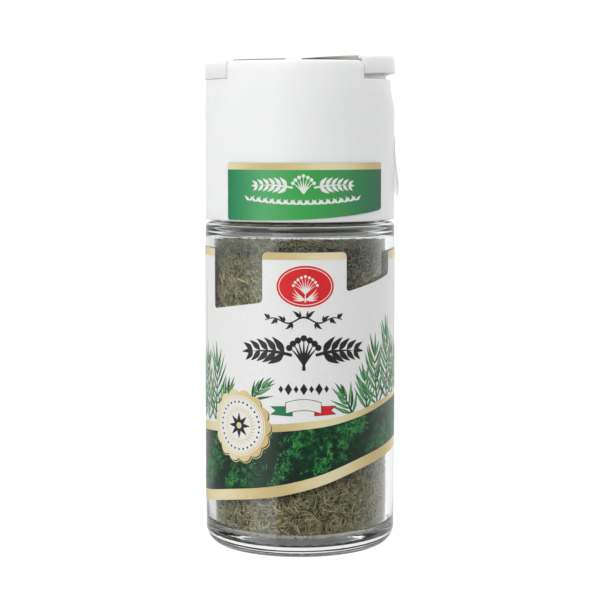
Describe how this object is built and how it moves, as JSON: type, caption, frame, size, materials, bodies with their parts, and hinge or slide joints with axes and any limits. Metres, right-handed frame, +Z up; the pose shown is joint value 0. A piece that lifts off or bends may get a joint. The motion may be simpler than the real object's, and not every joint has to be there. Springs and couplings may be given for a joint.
{
  "type": "glass jar of dried dill leaf with a two-flap dispenser cap",
  "caption": "Upright glass spice jar filled with dried dill leaf, with a wrap label and a white dispensing cap whose flaps hinge on a bar across the top.",
  "frame": {"origin": "on the surface the jar stands on, at the jar's axis", "axes": "+Z up along the jar's axis; -Y is the front, where the label faces; +X to the right seen from the front"},
  "size_m": [0.0466, 0.0458, 0.1162],
  "materials": {
    "clear_glass": "gloss",
    "dried_dill": "matte",
    "white_plastic": "satin",
    "label_paper": "satin",
    "green_print": "satin",
    "top_print": "satin",
    "seal_paper": "satin"
  },
  "bodies": {
    "jar": {"jar_glass": "clear_glass", "dill_leaf": "dried_dill", "jar_label": "label_paper", "cap_skirt": "white_plastic", "cap_plug": "white_plastic", "cap_deck": "white_plastic", "cap_sticker": "green_print", "seal_strip": "seal_paper"},
    "sifter_flap": {"flap_left": "white_plastic", "top_label_left": "top_print"},
    "spoon_flap": {"flap_right": "white_plastic", "top_label_right": "top_print"}
  },
  "joints": [
    {"name": "sifter_flap_hinge", "type": "hinge", "parent": "jar", "child": "sifter_flap", "pos_m": [-0.0016, 0.00011, 0.11355], "axis": [0.068, 0.9977, 0], "range_deg": [0, 90]},
    {"name": "spoon_flap_hinge", "type": "hinge", "parent": "jar", "child": "spoon_flap", "pos_m": [0.0016, -0.00011, 0.11355], "axis": [-0.068, -0.9977, 0], "range_deg": [-4.3, 85.7]}
  ]
}
